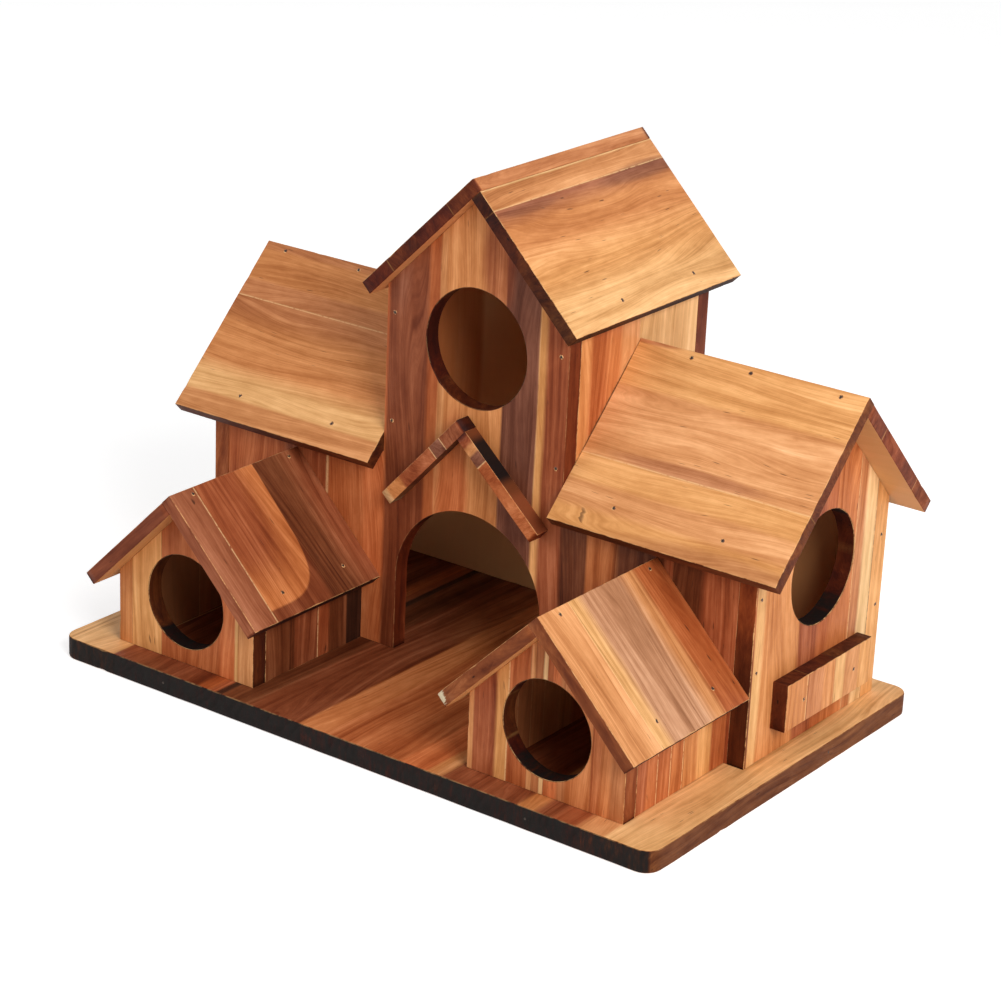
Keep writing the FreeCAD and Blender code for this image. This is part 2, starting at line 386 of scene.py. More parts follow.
def pale_arris_wear_and_highlight(paint, colour, place, broad_face, sides, wear):
    """Colour with pale spots along the arrises, partly rubbed wear and partly painted highlight, but only
    opposite the first toned side.
    """
    flat = paint.work("ABSOLUTE", broad_face)
    outer = paint.times(broad_face, -float(sides[0][0])) if sides else flat
    arris = paint.times(paint.rise(outer, 0.2, 0.45), paint.opposite(paint.rise(flat, 0.88, 0.98)))
    worn_and_lit = paint.rise(paint.noise(place, (9, 9, 9), 4.0, 0.7), 0.38, 0.6)
    return paint.blend(paint.times(arris, paint.times(worn_and_lit, wear)), colour, linear("straw"))


def add_patch(paint, colour, parts, sway, patch):
    """Light tongue of flat-sawn grain from the ridge down, past a joint: a rounded oblong, whose reach is
    the sum of the two shares of its length and width, each to a high power. It is brighter at its rim."""
    (joint, long, wide), tone, rim = patch
    power = 4.5
    first = paint.work("MAXIMUM", paint.work("DIVIDE", parts["X"], long), 0.0)
    bent = paint.work("SUBTRACT", paint.times_plus(sway, 5.0, parts["Y"]), joint)
    second = paint.work("MAXIMUM", paint.work("DIVIDE", bent, wide), 0.0)
    powers = paint.work("ADD", paint.work("POWER", first, power), paint.work("POWER", second, power))
    reach = paint.work("POWER", powers, 1 / power)
    inside = paint.times(paint.work("GREATER_THAN", parts["Y"], joint),
                         paint.opposite(paint.rise(reach, 0.985, 1.005)))
    light = paint.blend(paint.rise(reach, 0.55, 0.95), linear(tone), linear(rim))
    return paint.blend(inside, colour, light)


def add_stain_and_shade(paint, colour, parts, sway, stain):
    """Soft oval in another tone, used for real stains and for painted shade: its reach is the sum of the
    squares of the two shares of its length and width, bent a little with the grain."""
    along, across, long, wide, tone, opacity = stain
    first = paint.work("DIVIDE", paint.work("SUBTRACT", parts["X"], along), long)
    bent = paint.times_plus(sway, min(6.0, wide), parts["Y"])
    second = paint.work("DIVIDE", paint.work("SUBTRACT", bent, across), wide)
    reach = paint.times_plus(first, first, paint.times(second, second))
    inside = paint.opposite(paint.rise(reach, 0.2, 1.0))
    return paint.blend(paint.times(inside, opacity), colour, linear(tone))


def add_bare_wood(paint, colour, place, moved, bare):
    """Pale splintered wood within a short ragged reach of a broken corner."""
    corner, reach = bare
    corner = tuple(value / 1000 for value in corner)
    off = paint.put("VectorMath", {"operation": "DISTANCE"}, i0=place, i1=corner).outputs["Value"]
    ragged = paint.times(paint.noise(moved, (6, 0.8, 0.8), 3.0), reach * 0.0008)
    past = paint.rise(paint.work("ADD", off, ragged), reach * 0.0012, reach * 0.0014)
    return paint.blend(paint.opposite(past), colour, splintered)


def strip_colour(paint, place, strips, seed, figure, browned, patch, stains):
    """Colour of the strips with their grain and joints, the grain's own values, and the place that the
    grain sees, moved at random for each strip and by the seed for each board."""
    width, tone_stops, lines, starts = strip_stops(strips)
    steps = np.random.default_rng(seed).random(len(starts))
    parts = paint.split(place)
    share = paint.work("DIVIDE", parts["Y"], width)
    shades = [(start, (step,) * 3 + (1,)) for start, step in zip(starts, steps)]
    number = paint.ramp(share, shades + [(1.0, shades[-1][1])], "CONSTANT")
    strip_step, board_step = (2400.0, 0.0, 900.0), (seed * 37.0, seed * 3.1, seed * 11.0)
    moved = paint.vector("ADD", paint.vector("MULTIPLY_ADD", number, strip_step, place), board_step)
    fibre = paint.put("Group", {"node_tree": grain_group}, Place=moved, **figure).outputs
    sway = paint.swing(place, (70, 60, 60), 2.0)
    wavy = paint.times_plus(sway, 1.6, parts["Y"])
    colour = paint.ramp(paint.work("DIVIDE", wavy, width), tone_stops)
    if patch:
        colour = add_patch(paint, colour, parts, sway, patch)
    colour = paint.blend(browned, colour, linear("rust"))
    for stain in stains:
        colour = add_stain_and_shade(paint, colour, parts, sway, stain)
    curve = paint.times_plus(fibre["Dark"], 0.35, 1.0)
    kept = paint.times_plus(fibre["Dark"], -0.5, 1.0)
    colour = paint.dim(colour, curve, kept)
    colour = paint.blend(paint.times(fibre["Fleck"], 0.8), colour, linear("soot"))
    speckle = paint.rise(paint.noise(place, (3, 3, 3), 3.0, 0.7), 0.3, 0.52)
    for meeting, (opacity, tone) in joint_looks.items():
        line = paint.times(paint.ramp(share, lines[meeting]), paint.times(speckle, opacity))
        colour = paint.blend(line, colour, linear(tone))
    return colour, fibre, moved


def laminated(name, axes, strips, seed, burn=(0.9, 0.9, 0.9, 0.9), gap=6.5, rings=0.3, bands=1.0, fibres=1.0,
              flecks=0.8, wear=0.7, sides=(), patch=None, stains=(), bare=None):
    """Wood of a board edge-glued from strips. Broad sides may have tones of their own, ends and edges are
    burnt by the four amounts, the walls of holes are dark brown, and the arrises are pale with wear and
    painted highlight."""
    material, paint, shader = new_material(name)
    source = paint.put("TexCoord").outputs
    place, (along_face, edge_face, broad_face) = board_place(paint, source, axes)
    scorch = flame_share(paint, along_face, edge_face, burn)
    browned = paint.work("MINIMUM", paint.times(scorch, 1.8), 0.55)
    figure = {"Gap": gap, "Rings": rings, "Bands": bands, "Fibres": fibres, "Flecks": flecks}
    colour, fibre, moved = strip_colour(paint, place, strips, seed, figure, browned, patch, stains)
    colour = tone_sides(paint, colour, place, broad_face, sides)
    uneven = paint.swing(moved, (14, 2.2, 9), 3.0, 0.6)
    scorch = paint.times(scorch, paint.times_plus(uneven, 0.25, 1.0), clamp=True)
    colour = scorched(paint, colour, scorch)
    # Pale arrises: partly rubbed wear, partly painted highlight.
    colour = pale_arris_wear_and_highlight(paint, colour, place, broad_face, sides, wear)
    if bare:
        colour = add_bare_wood(paint, colour, source["Object"], moved, bare)
    bump = paint.put("Bump", Strength=0.35, Distance=0.00025, Height=fibre["Height"]).outputs["Normal"]
    rough = paint.times_plus(scorch, 0.2, paint.work("ADD", fibre["Gloss"], 0.5))
    for name, value in (("Base Color", colour), ("Roughness", rough), ("Normal", bump)):
        paint.feed(shader[name], value)
    shader["Specular IOR Level"].default_value = 0.16
    return material


def nail_material():
    """Dark nail steel with a skirt of torn wood, pale or burnt in fine spots."""
    material, paint, shader = new_material("nail_steel")
    place = paint.put("TexCoord").outputs["Object"]
    spots = paint.put("TexNoise", Vector=place, Scale=900.0, Detail=2.0).outputs["Fac"]
    torn = paint.put("Attribute", {"attribute_name": "torn"}).outputs["Fac"]
    steel = paint.blend(spots, (0.02, 0.013, 0.01, 1), (0.07, 0.05, 0.04, 1))
    fibres = paint.blend(paint.rise(spots, 0.45, 0.6), linear("umber"), linear("straw"))
    paint.feed(shader["Base Color"], paint.blend(torn, steel, fibres))
    paint.feed(shader["Roughness"], paint.work("ADD", paint.times(spots, 0.3), 0.4))
    paint.feed(shader["Metallic"], paint.times(paint.opposite(torn), 0.6))
    return material


def along_outline(corners, like):
    """Points along a closed outline. Each side is divided evenly, into as many pieces as the same side of
    the outline that it is like takes at about one step each."""
    step = 4.0
    corners, like = np.array(corners, float), np.array(like, float)
    sides, lengths = (np.roll(outline, -1, 0) - outline for outline in (corners, like))
    counts = [max(1, int(np.hypot(*length) // step)) for length in lengths]
    return np.concatenate([start + np.outer(np.arange(count) / count, side)
                           for start, side, count in zip(corners, sides, counts)])


def circle(middle, radius):
    """Points clockwise round a circle: the middle plus the radius times the cosine and sine."""
    count = 72
    angle = -np.arange(count) * 2 * math.pi / count
    return np.array(middle) + radius * np.stack((np.cos(angle), np.sin(angle)), 1)


def inward(loop):
    """For each point of a loop, the step to the left that moves both its sides in by one: the sum of the
    two sides' left normals over one plus their dot product."""
    side = np.roll(loop, -1, 0) - loop
    side /= np.linalg.norm(side, axis=1)[:, None]
    left = np.stack((-side[:, 1], side[:, 0]), 1)
    before = np.roll(left, 1, 0)
    return (left + before) / (1 + (left * before).sum(1))[:, None]


def within(points, loop):
    """True where a point is inside a loop: its level ray crosses the loop's sides an odd number of times."""
    start, end = loop[None], np.roll(loop, -1, 0)[None]
    x, y = points[:, None, 0], points[:, None, 1]
    spans = (start[..., 1] > y) != (end[..., 1] > y)
    rise = np.where(end[..., 1] == start[..., 1], 1.0, end[..., 1] - start[..., 1])
    crossing = start[..., 0] + (y - start[..., 1]) * (end[..., 0] - start[..., 0]) / rise
    return (spans & (x < crossing)).sum(1) % 2 == 1


def fill(loops):
    """Triangles between an outer loop and its holes: the loops' Delaunay triangles whose middles lie
    inside the first loop and outside the rest. The points are rounded first, as the triangles keep them."""
    loops = [loop.astype(np.float32).astype(float) for loop in loops]
    points = np.concatenate(loops)
    edges = []
    for loop in loops:
        order = np.arange(len(loop))
        edges += (np.stack((order, (order + 1) % len(loop)), 1) + len(edges)).tolist()
    found = delaunay_2d_cdt([Vector(point) for point in points], edges, [], 0, 1e-5)
    own = np.array([ids[0] for ids in found[3]])
    triangles = own[np.array(found[2])]
    middles = points[triangles].mean(1)
    keep = within(middles, loops[0])
    for hole in loops[1:]:
        keep &= ~within(middles, hole)
    return triangles[keep]


def worn_radius(size, arris, chance):
    """Radius of the arris at each point of a loop: it wanders along the edge, and a few points are dented."""
    knots = size // 3 + 2
    wear = np.interp(np.arange(size), np.linspace(0, size, knots), chance.random(knots))
    dents = chance.random(size) > 0.985
    return arris * (0.7 + 0.5 * wear + 1.1 * dents)[:, None]


def carried(near, far, depth, radius):
    """Rings of points that carry a loop through the thickness. At both faces they draw in along a quarter
    circle, by the radius times one less the sine and one less the cosine of the angle."""
    angles = np.radians([0, 30, 60, 90])
    rings = []
    for loop, start, sign in ((near, depth[0], 1), (far, depth[1], -1)):
        for angle in angles[::sign]:
            flat = loop + inward(loop) * radius * (1 - math.sin(angle))
            level = start + sign * radius * (1 - math.cos(angle))
            rings.append(np.concatenate((flat, level), 1))
    return rings


def plate_mesh(name, axes, loops, depth, arris, seed):
    """Flat board. Its outer loop, the first, runs anticlockwise and those of its holes run clockwise, so that
    their left lies in the wood. They are carried through the thickness, the faces between them are filled,
    and the mesh keeps in "cut" which points are on a hole's wall."""
    origin, along, across = (np.array(axis, float) for axis in axes)
    through = np.cross(along, across)
    chance = np.random.default_rng(seed)
    places, faces, cuts, rims, count = [], [], [], ([], []), 0
    for number, (near, far) in enumerate(loops):
        size = len(near)
        rings = carried(near, far, depth, worn_radius(size, arris, chance))
        grid = count + np.arange(len(rings) * size).reshape(len(rings), size)
        after = np.roll(grid, -1, 1)
        faces += np.stack((grid[:-1], after[:-1], after[1:], grid[1:]), -1).reshape(-1, 4).tolist()
        places += rings
        cuts.append(np.repeat([0.0] + [float(number > 0)] * (len(rings) - 2) + [0.0], size))
        for rim, row in zip(rims, (0, -1)):
            rim.append((grid[row], rings[row][:, :2]))
        count += grid.size
    for rim, turn in zip(rims, (-1, 1)):
        names = np.concatenate([ids for ids, _ in rim])
        faces += names[fill([loop for _, loop in rim])][:, ::turn].tolist()
    flat = np.concatenate(places) / 1000
    points = origin / 1000 + flat[:, :1] * along + flat[:, 1:2] * across + flat[:, 2:] * through
    mesh = bpy.data.meshes.new(name)
    mesh.from_pydata(points.tolist(), [], faces)
    values = np.concatenate(cuts).astype(np.float32)
    mesh.attributes.new("cut", "FLOAT", "POINT").data.foreach_set("value", values)
    mesh.shade_smooth()
    return mesh


def set_board(node, axes, outline, depth, strips, seed, arris=0.45, hole=None, far_outline=None, **finish):
    """Board that stands for a node, and its wood, both from its axes: its origin, the direction of its grain
    and the one across it. A hole is its middle along and across and its radius."""
    loops = [(along_outline(outline, outline), along_outline(far_outline or outline, outline))]
    if hole:
        loops.append((circle(hole[:2], hole[2]),) * 2)
    mesh = plate_mesh(node + "_board", axes, loops, depth, arris, seed)
    mesh.materials.append(laminated(node + "_wood", axes, strips, seed, **finish))
    board = add_object(node + "_board", mesh)
    board.modifiers.new("even_faces", "WEIGHTED_NORMAL").weight = 60
    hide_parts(node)
    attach(board, "root")


def rectangle(low, high, start, end):
    """Corners of a rectangle, from low to high along the grain and from start to end across it."""
    return [(low, start), (high, start), (high, end), (low, end)]


def pentagon(shoulder, half):
    """Corners of a gable wall: level shoulders, and a peak that rises as far as the wall is half wide."""
    peak = (shoulder + half, half)
    return [(floor_top, 0), (shoulder, 0), peak, (shoulder, 2 * half), (floor_top, 2 * half)]


def set_base():
    """Base board with rounded corners."""
    strips = ("38 straw, 58 chestnut, 72 chestnut 3, 97 chestnut 3, 105 orange 2, 109 rust 1, "
              "113.5 soot glue, 132 umber 3, 166 chestnut, 183 apricot 4, 222 orange 3, 230.5 orange glue, "
              "247 russet glue, 251 amber 1.5, 256 sand 2, 271 chestnut 2, 286 chestnut, 302 chestnut 2, "
              "312 amber 3, 323 chestnut 3, 337 rust 4, 352.5 sand glue, 380 straw")
    turns = np.radians(np.arange(0, 91, 15))
    corners = []
    for ahead, aside, start in ((1, 1, 0), (-1, 1, 90), (-1, -1, 180), (1, -1, 270)):
        middle = np.array((ahead * (base_half_depth - base_corner),
                           base_middle + aside * (base_half_length - base_corner)))
        angles = math.radians(start) + turns
        corners += (middle + base_corner * np.stack((np.cos(angles), np.sin(angles)), 1)).tolist()
    set_board("base_board", ((-base_middle, 0, floor_top), north, east), corners, (0, floor_top), strips, 3,
              arris=0.8, burn=(0.96, 0.75, 0.6, 0.7), wear=0.25, sides=[(1, "honey", 0.5)],
              stains=[(55, 190, 60, 60, "apricot", 0.45)])


def wall_outline(shoulder, doorway):
    """Outline of a long wall in heights and places along it: the wings' level tops and the tower's gable
    between them, with the arched doorway cut up from the foot where it has one."""
    middle = gable_face - wall
    left, right = middle - tower_half, middle + tower_half
    corners = [(floor_top, 2 * middle), (floor_top, middle + doorway_half)]
    if doorway:
        angles = np.radians(np.arange(0, 181, 5))
        arch = np.stack((doorway_spring + doorway_half * np.sin(angles),
                         middle + doorway_half * np.cos(angles)), 1)
        corners += arch.tolist()
        corners += [(floor_top, middle - doorway_half)]
    corners += [(floor_top, 0), (shoulder, 0), (shoulder, left), (tower_eave, left),
                (tower_eave + tower_half, middle), (tower_eave, right), (shoulder, right),
                (shoulder, 2 * middle)]
    return corners


def set_long_walls():
    """Front and back wall, each in one piece with its gable. Their tops are bevelled to the roofs' slope."""
    # The umber strips from 256 to 308 across, under the right wing's roof, are darkened partly as painted
    # shade.
    front = ("14 russet 2, 40 russet 4, 69.5 rust glue, 94 orange 4, 108 russet 1, 128.5 chestnut 6, "
             "134 chestnut 2, 141 orange, 145 sand 1, 161.5 amber 3, 182 amber glue, 203.5 plum, "
             "208 honey 2, 222 rust 2, 238.5 umber 1, 256 apricot 4, 270 umber 2, 285 umber 2, 290 rust, "
             "308 umber 4, 329 rust")
    back = ("46 rust, 88 orange glue, 120 apricot, 164 tan 8, 205 orange glue, 240 clay, 281 amber, "
            "329 rust")
    axes = ((wall - gable_face, wall_front, 0), upright, east)
    low, high = wing_shoulder, wing_shoulder + wall
    height, radius = tower_entrance
    # The russet oval over the doorway, under the canopy, is partly wood tone and partly painted shade.
    set_board("front_wall", axes, wall_outline(low, True), (0, wall), front, 11, arris=0.4,
              hole=(height, gable_face - wall, radius), far_outline=wall_outline(high, True),
              burn=(0.8, 0.8, 0.2, 0.35), wear=0.25, sides=[(1, "honey", 0.7)],
              stains=[(242, 177, 38, 13, "rust", 0.8), (250, 115, 60, 12, "plum", 0.5),
                      (105, 152, 60, 13, "russet", 0.9)])
    set_board("back_wall", axes, wall_outline(high, False), (wall_depth - wall, wall_depth), back, 12,
              arris=0.4, far_outline=wall_outline(low, False), burn=(0.9, 0.9, 0.2, 0.3),
              sides=[(-1, "straw", 0.9), (-1, "sand", 0.9, 222.0, 340.0)])


def under_or_over(sign):
    """Start across the slope and depth of a ridge board: the right one lies under the left one's edge."""
    return (sheet, (0, sheet)) if sign > 0 else (0, (-sheet, 0))


def set_tower_roofs():
    """The tower's two roof boards; dark heartwood smudges the right one along its second joint."""
    right = "8.4 cream 0.5, 19.7 sand glue, 27 clay 10, 52 amber 18, 72 honey 16, 95.5 straw"
    left = "22 tan glue, 50 rust, 74 tan glue, 95.5 orange"
    dark = [(100, 23, 48, 6, "plum", 0.6), (0, 23, 30, 4, "plum", 0.4)]
    reach = (tower_half + tower_overhang) / diagonal
    for name, sign, strips, seed, burn, stains in (("right", 1, right, 21, (0.84, 0.7, 0.2, 0.9), dark),
                                                   ("left", -1, left, 22, (0.66, 0.7, 0.0, 0.8), ())):
        axes = ((0, 0, tower_ridge), north, (sign * diagonal, 0.0, -diagonal))
        start, depth = under_or_over(sign)
        set_board("tower_roof_" + name, axes, rectangle(*tower_ends, start, reach), depth, strips, seed,
                  burn=burn, wear=0.9, flecks=1.0, gap=17.0, sides=[(sign, "sand", 0.7)], stains=stains)


def set_side_walls(prefix, middle, half, heights, ends, strips, seeds, inside, **finish):
    """Two side walls from a front wall to a back one. Their tops are bevelled to the roof's slope, and the
    inner sides have tones of their own."""
    foot, eave = heights
    front, back = ends
    for side, seed in seeds.items():
        sign, face = (1, middle + half) if side == "right" else (-1, middle - half + wall)
        near, far = (rectangle(foot, top, 0, back - front) for top in (eave, eave + wall)[::sign])
        set_board(prefix + side, ((face, front, 0), upright, north), near, (0, wall), strips, seed,
                  far_outline=far, sides=[(sign, *tone) for tone in inside], **finish)


def set_tower_sides():
    """The tower's side walls, which end above the hall."""
    strips = ("9 amber 4, 24 orange 6, 36 apricot 4, 52 sand, 64 straw 3, 78 straw 3, 95 straw 4, 106 straw")
    set_side_walls("tower_side_", 0.0, tower_half, (tower_foot, tower_eave),
                   (wall_front + wall, wall_back - wall), strips, {"right": 23, "left": 24},
                   [("apricot", 0.8), ("cream", 0.8, 60.0, 120.0)], fibres=0.8, bands=0.8)


def set_wing_roofs(name, sign):
    """A wing's front and back roof board. The front one has a thin line of painted shade, in the soot tone,
    in the crease where it meets the tower.
    """
    front = {"right": ("5 honey 4, 27 honey 3, 47 sand 2, 58 sand 6, 68.4 sand glue, 83 honey 3, "
                       "97 sand 4, 108.2 honey"),
             "left": ("5 tan 2, 24.5 amber 2, 35.4 tan glue, 47 tan 12, 80 amber 10, 96 straw 2, 108.2 sand")}
    back = "30 clay glue, 62 rust, 82 clay glue, 106.1 tan"
    seeds = {"right": (31, 35), "left": (32, 36)}
    looks = {"right": {"burn": (0.5, 0.7, 0.3, 0.7), "rings": -0.45},
             "left": {"burn": (0.6, 0.8, 0.3, 0.7), "rings": 0.3}}
    # Painted shade: a thin soot-toned line in the crease where the roof meets the tower. The right roof's
    # clay and rust ovals are real stains.
    smudges_and_shade = [(sign * tower_half, 40, 1.2, 52, "soot", 0.9)]
    if sign > 0:
        smudges_and_shade += [(wing_outer, 109, 118, 11, "clay", 0.5), (120, 65, 55, 5, "clay", 0.6),
                    (62, 0, 26, 3, "rust", 0.8)]
    ridge = (0, ridge_line, wing_ridge)
    ends = sorted((sign * tower_half, sign * wing_outer))
    set_board(name + "_wing_roof_front", (ridge, east, (0.0, -diagonal, -diagonal)),
              rectangle(*ends, 0, wing_front_reach / diagonal), (0, sheet), front[name], seeds[name][0],
              wear=0.8, gap=17.0, bands=0.7, sides=[(1, "tan", 0.5)], stains=smudges_and_shade, **looks[name])
    set_board(name + "_wing_roof_back", (ridge, east, (0.0, diagonal, -diagonal)),
              rectangle(*ends, sheet, wing_back_reach / diagonal), (-sheet, 0), back, seeds[name][1],
              burn=(0.35, 0.35, 0.3, 0.6), wear=0.8, sides=[(-1, "straw", 0.85)])


def set_wing_gable(name, sign):
    """A wing's gable with its round entrance, and the ledge below. Low on the right one's front edge lies
    painted shadow of the small house, in the soot tone.
    """
    gable = ("9 straw 3, 23 amber 4, 44 amber 3, 62 rust 3, 72 orange 2, 93.6 apricot glue, 102 tan 3, "
             "113 cream gap, 126 honey")
    ledge = "19 amber glue, 35 tan 2, 46 amber, 56 straw 1.5, 70 sand, 82 honey"
    inner, ledge_inner, front_burn, seed, ledge_seed = {
        "right": (gable_face, gable_face + ledge_thick, 0.35, 33, 39),
        "left": (wall - gable_face, -gable_face, 0.1, 34, 40)}[name]
    corner = [(80, 0, 320, 2, "orange", 0.9)]
    # Painted shadow of the small house: a dark soot-toned band low on the right gable's front edge.
    if sign > 0:
        corner.append((15, 0, 85, 2, "soot", 0.6))
    height, radius = wing_entrance
    set_board(name + "_wing_gable", ((inner, wall_front, 0), upright, north),
              pentagon(wing_shoulder, house_half), (0, wall), gable, seed, hole=(height, house_half, radius),
              burn=(0.95, 0.95, front_burn, 0.3), wear=0.75, sides=[(sign, "apricot", 0.6)], stains=corner)
    ledge_front = ridge_line - ledge_length / 2
    set_board(name + "_wing_ledge", ((ledge_inner, ledge_front, 0), upright, north),
              rectangle(ledge_low, ledge_high, 0, ledge_length), (0, ledge_thick), ledge, ledge_seed,
              burn=(0.8, 0.78, 0.75, 0.75), wear=0.7, bands=0.6)


def set_small_gable(name, centre, seed):
    """A small house's gable with its round entrance."""
    strips = {"right": ("3 sand 1, 16.5 rust 2, 23.5 honey glue, 36 orange, 39 sand, 43.5 tan, 46 cream, "
                        "49 orange, 54 russet 2, 59 tan 2, 73.5 apricot, 79 orange 2, 85 apricot 2, "
                        "93.4 tan"),
              "left": ("9 amber, 19.5 honey 6, 30 honey, 56 orange, 71 orange 2, 81 russet 1, 83 straw 1, "
                       "93.4 sand")}
    # The left house's stronger burn on its last edge also paints the shade on that edge.
    last_edge_burn_and_shade = {"right": 0.35, "left": 0.8}
    height, radius = small_entrance
    set_board(name + "_small_house_gable", ((centre - small_half, small_front, 0), upright, east),
              pentagon(small_shoulder, small_half), (0, wall), strips[name], seed,
              hole=(height, small_half, radius), burn=(0.9, 0.95, 0.6, last_edge_burn_and_shade[name]), gap=9.0,
              sides=[(1, "tan", 0.6)])


def set_small_sides(name, centre, seed):
    """A small house's side walls."""
    strips = {"right": ("8 rust 2, 17.5 orange glue, 29 orange glue, 40 apricot glue, 53 amber 2, "
                        "65 honey 2, 78.5 orange"),
              "left": "23 umber 2, 42 chestnut glue, 51 rust 2, 66 umber gap, 78.5 soot"}
    set_side_walls(name + "_small_house_side_", centre, small_half, (floor_top, small_shoulder),
                   (small_front + wall, wall_front), strips[name], {"left": seed, "right": seed + 1},
                   [("tan", 0.6)], gap=5.0)


def set_small_roofs(name, centre, seed):
    """A small house's two roof boards. The right house's left one has a chipped, bare corner, and the left
    house's right one a light tongue of grain."""
    strips = {"right": "7 sand 3, 24.5 sand glue, 33 straw 6, 69 fawn 8, 79 sand 4, 101 orange",
              "left": "17.5 clay glue, 62 chestnut 4, 86 umber 12, 101 chestnut"}
    chip = [(8.5, 0), (6.0, 1.1), (5.2, 0.9), (2.6, 2.2), (1.8, 2.0), (0.0, 3.2)]
    front_burn = {"right": 0.42, "left": 0.2}
    reach = (small_half + small_overhang) / diagonal
    for side, lean, start, depth, own in (("right", 1, 0, (-sheet, 0), seed),
                                          ("left", -1, sheet, (0, sheet), seed + 1)):
        outline = rectangle(start, reach, 0, small_run)
        special = {}
        if (name, side) == ("right", "left"):
            outline[1:2] = [(reach - back, across) for back, across in chip]
            special["bare"] = ((centre - 58.0, roof_front, 50.0), 6.0)
        if (name, side) == ("left", "right"):
            special["patch"] = ((17.6, 77.0, 46.0), "rust", "apricot")
        axes = ((centre, roof_front, small_ridge), (lean * diagonal, 0.0, -diagonal), north)
        set_board(name + "_small_house_roof_" + side, axes, outline, depth, strips[name], own, gap=5.5,
                  flecks=1.0, burn=(0.35, 0.85, front_burn[name], 0.8), sides=[(-lean, "honey", 0.7)],
                  **special)


def set_canopy():
    """The two short boards over the doorway, a little turned as a pair, charred dark on top, with painted
    shade in the soot tone on their undersides.
    """
    left = "17 chestnut glue, 26 plum glue, 54 rust 2, 66 amber 3, 69.7 cream"
    right = "14 rust 2, 19 sand 1.5, 26 plum glue, 72.3 orange"
    middle, top = canopy_top
    for name, sign, reach, strips, seed, edges in (("left", -1, 69.7, left, 61, (0.85, 0.0)),
                                                   ("right", 1, 72.3, right, 62, (0.5, 0.5))):
        angle = math.radians(45) - sign * canopy_tilt
        axes = ((middle, 0, top), north, (sign * math.cos(angle), 0.0, -math.sin(angle)))
        start, depth = under_or_over(sign)
        # The soot tone on each board's underside is painted shade; the umber, chestnut and coal tones on top
        # are char.
        set_board("canopy_" + name, axes, rectangle(canopy_front, wall_front, start, reach), depth, strips,
                  seed, arris=0.35, burn=(0.0, 0.0, *edges), wear=0.6, rings=0.1,
                  sides=[(sign, "soot", 0.8), (-sign, "umber", 1.0), (-sign, "chestnut", 0.9, 48.0, 90.0),
                         (-sign, "coal", 1.0, 13.0, 40.0)])


def roof_nail(origin, along, across, reach, distance):
    """Nail square into a roof board: origin on the ridge, reach along it, distance down the slope."""
    start = np.array(origin, float) + reach * np.array(along) + distance * diagonal * np.array(across)
    start[2] -= distance * diagonal
    return start, np.array((-diagonal * across[0], -diagonal * across[1], -diagonal))


def roof_nails(ridge, along, length, ridge_shares, eave_shares, half, ways):
    """Nails of a pair of roof boards, by shares of their length: along the ridge, and on each slope over
    the middle of the wall."""
    seat = (sheet * diagonal - wall / 4) / diagonal
    nails = [roof_nail(ridge, along, ways[0], share * length, sheet / 2) for share in ridge_shares]
    for share in eave_shares:
        for way in ways[-2:]:
            nails.append(roof_nail(ridge, along, way, share * length, half / diagonal + seat))
    return nails


def nails_on_side(sign):
    """Nails of one half of the birdhouse, by the same shares of each board as in the CAD model."""
    south, west = (0, -1, 0), (-1, 0, 0)
    wing = (sign * tower_half, ridge_line, wing_ridge)
    small = (sign * small_offset, wall_front, small_ridge)
    tower = (0, wall_front, tower_ridge)
    nails = roof_nails(wing, (sign, 0, 0), wing_run, (0.245, 0.506, 0.892), (0.245, 0.721), house_half,
                       (south, north))
    nails += roof_nails(small, north, small_run, (-0.85, -0.1), (-0.683, -0.198), small_half,
                        (east, west, east))
    nails += roof_nails(tower, north, wall_depth, (), (0.317, 0.833), tower_half, ((sign, 0, 0),))
    beside = sign * (tower_half - wall / 2)
    for share in (0.276, 0.858):
        height = tower_foot + share * (tower_eave - tower_foot)
        nails.append(((beside, wall_front, height), north))
        nails.append(((beside, wall_back, height), south))
    inwards = (-sign, 0, 0)
    for share in (0.464, 0.819):
        height = floor_top + share * (wing_shoulder - floor_top)
        for edge in (wall_front + wall / 2, wall_back - wall / 2):
            nails.append(((sign * gable_face, edge, height), inwards))
    ledge_middle = (ledge_low + ledge_high) / 2
    for share in (-0.3, 0.3):
        place = (sign * (gable_face + ledge_thick), ridge_line + share * ledge_length, ledge_middle)
        nails.append((place, inwards))
    for (aside, ahead), way in zip(base_nails, (north, inwards)):
        nails.append(((sign * aside, ahead, floor_top / 2), way))
    return nails


def nail_places():
    """Starts and directions of all the nails."""
    length = tower_ends[1] - tower_ends[0]
    nails = nails_on_side(-1) + nails_on_side(1)
    for share in (0.134, 0.502, 0.87):
        nails.append(roof_nail((0, tower_ends[0], tower_ridge), north, (-1, 0, 0), share * length, sheet / 2))
    return nails


